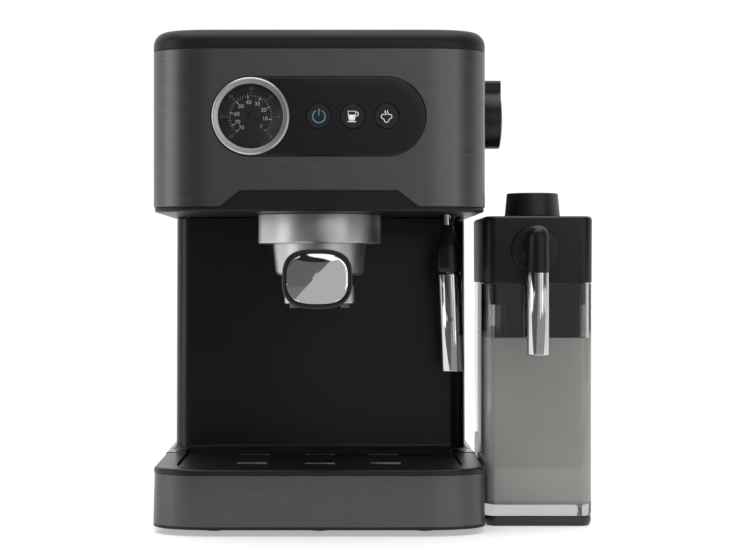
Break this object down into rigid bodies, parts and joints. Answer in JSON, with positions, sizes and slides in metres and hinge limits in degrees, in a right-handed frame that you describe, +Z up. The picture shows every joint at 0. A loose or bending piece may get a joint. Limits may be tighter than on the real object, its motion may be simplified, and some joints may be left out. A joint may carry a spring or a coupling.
{
  "type": "espresso machine",
  "caption": "Boxy pump espresso machine with a gauge, push buttons, a locking portafilter, a steam wand, a drip tray drawer, a rear water tank and a milk frothing jug.",
  "frame": {"origin": "under the middle of the assembly's box, on the surface that it stands on", "axes": "+Z up, +Y from the front of the machine to its back, +X towards the side with the steam wand and the milk jug"},
  "size_m": [0.282, 0.406, 0.316],
  "materials": {
    "dark_steel": "fine horizontal brushing, dark grey",
    "black_gloss": "polished moulding",
    "black_satin": "fine satin moulding",
    "panel_black": "satin gloss panel",
    "button_black": "satin with printed symbols",
    "satin_silver": "satin metal",
    "chrome": "polished",
    "grip_black": "soft satin grip",
    "knob_black": "satin gloss moulding",
    "dial_face": "printed scale",
    "needle_dark": "dark lacquer",
    "gauge_clear": "clear lens",
    "steel": "stamped steel",
    "cast_aluminium": "as cast",
    "brass_fitting": "machined",
    "rubber_black": "moulded rubber",
    "outlet_grey": "moulded",
    "hose_clear": "milky silicone",
    "technical_grey": "glass filled moulding",
    "board_green": "lacquered board",
    "tank_smoke": "smoked clear moulding",
    "jug_smoke": "smoked clear moulding",
    "jug_black": "satin moulding",
    "knob_satin": "satin moulding"
  },
  "bodies": {
    "machine": {"head_wrap": "dark_steel", "base_band": "dark_steel", "column_housing": "black_gloss", "head_lid": "black_satin", "head_chin": "black_satin", "base_pan": "black_satin", "rear_panel": "black_satin", "control_panel": "panel_black", "group_ring": "satin_silver", "gauge_bezel": "satin_silver", "gauge_dial": "dial_face", "gauge_glass": "gauge_clear", "shower_screen": "steel", "chassis": "steel", "shower_screw": "steel", "case_screws": "steel", "boiler": "cast_aluminium", "boiler_cover": "cast_aluminium", "steam_valve": "brass_fitting", "wand_socket": "brass_fitting", "feet": "rubber_black", "group_gasket": "rubber_black", "pump_mounts": "rubber_black", "suction_hose": "hose_clear", "pressure_hose": "hose_clear", "steam_line": "hose_clear", "pump": "technical_grey", "three_way_valve": "technical_grey", "gauge_movement": "technical_grey", "micro_switches": "technical_grey", "tank_socket": "technical_grey", "cord_gland": "technical_grey", "control_board": "board_green"},
    "drawer": {"drip_tray": "black_satin", "tray_band": "dark_steel"},
    "grille": {"drip_grille": "black_gloss"},
    "portafilter": {"portafilter_head": "satin_silver", "filter_basket": "steel", "spout_block": "satin_silver", "spout_outlets": "outlet_grey", "handle_grip": "grip_black", "handle_cap": "chrome"},
    "needle": {"gauge_needle": "needle_dark"},
    "power_button": {"button_power": "button_black"},
    "brew_button": {"button_brew": "button_black"},
    "steam_button": {"button_steam": "button_black"},
    "knob": {"steam_knob": "knob_black", "valve_stem": "steel"},
    "wand": {"steam_pipe": "chrome", "wand_grip": "grip_black"},
    "sleeve": {"froth_sleeve": "chrome"},
    "tank": {"water_tank": "tank_smoke"},
    "tank_cover": {"tank_lid": "black_satin"},
    "tank_poppet": {"tank_valve": "jug_black"},
    "jug": {"jug_container": "jug_smoke"},
    "jug_cover": {"jug_lid": "jug_black", "froth_body": "jug_black"},
    "froth_dial": {"froth_knob": "knob_satin"},
    "milk_arm": {"spout_elbow": "jug_black", "milk_spout": "chrome"}
  },
  "joints": [
    {"name": "drawer_slide", "type": "slide", "parent": "machine", "child": "drawer", "axis": [0, -1, 0], "range_m": [0, 0.12]},
    {"name": "grille_lift", "type": "slide", "parent": "drawer", "child": "grille", "axis": [0, 0, 1], "range_m": [0, 0.02]},
    {"name": "portafilter_twist", "type": "hinge", "parent": "machine", "child": "portafilter", "pos_m": [-0.03585, -0.026, 0.188], "axis": [0, 0, 1], "range_deg": [-45, 0]},
    {"name": "needle_turn", "type": "hinge", "parent": "machine", "child": "needle", "pos_m": [-0.07825, -0.088, 0.2611], "axis": [0, 1, 0], "range_deg": [-270, 0]},
    {"name": "power_press", "type": "slide", "parent": "machine", "child": "power_button", "axis": [0, 1, 0], "range_m": [0, 0.0012], "stiffness_N_per_m": 900, "springref_m": -0.0012},
    {"name": "brew_press", "type": "slide", "parent": "machine", "child": "brew_button", "axis": [0, 1, 0], "range_m": [0, 0.0012], "stiffness_N_per_m": 900, "springref_m": -0.0012},
    {"name": "steam_press", "type": "slide", "parent": "machine", "child": "steam_button", "axis": [0, 1, 0], "range_m": [0, 0.0012], "stiffness_N_per_m": 900, "springref_m": -0.0012},
    {"name": "knob_turn", "type": "hinge", "parent": "machine", "child": "knob", "pos_m": [0.06915, -0.013, 0.2645], "axis": [1, 0, 0], "range_deg": [-150, 0]},
    {"name": "wand_tilt", "type": "hinge", "parent": "machine", "child": "wand", "pos_m": [0.04815, -0.008, 0.208], "axis": [1, 0, 0], "range_deg": [-20, 0]},
    {"name": "sleeve_pull", "type": "slide", "parent": "wand", "child": "sleeve", "axis": [0.0366, 0, -0.9993], "range_m": [0, 0.035]},
    {"name": "tank_lift", "type": "slide", "parent": "machine", "child": "tank", "axis": [0, 0, 1], "range_m": [0, 0.12]},
    {"name": "tank_cover_hinge", "type": "hinge", "parent": "tank", "child": "tank_cover", "pos_m": [-0.03585, 0.2009, 0.301], "axis": [1, 0, 0], "range_deg": [-95, 0]},
    {"name": "tank_poppet_slide", "type": "slide", "parent": "tank", "child": "tank_poppet", "axis": [0, 0, 1], "range_m": [-0.0022, 0]},
    {"name": "jug_slide", "type": "slide", "parent": "machine", "child": "jug", "axis": [1, 0, 0], "range_m": [0, 0.12]},
    {"name": "jug_cover_lift", "type": "slide", "parent": "jug", "child": "jug_cover", "axis": [0, 0, 1], "range_m": [0, 0.04]},
    {"name": "froth_dial_turn", "type": "hinge", "parent": "jug_cover", "child": "froth_dial", "pos_m": [0.10675, 0.012, 0.21], "axis": [0, 0, 1], "range_deg": [-180, 0]},
    {"name": "milk_arm_swing", "type": "hinge", "parent": "jug_cover", "child": "milk_arm", "pos_m": [0.10315, -0.048, 0.179], "axis": [0, 1, 0], "range_deg": [-45, 90]}
  ],
  "couplings": [
    {"joint": "tank_poppet_slide", "follows": "tank_lift", "ratio": -0.018}
  ]
}
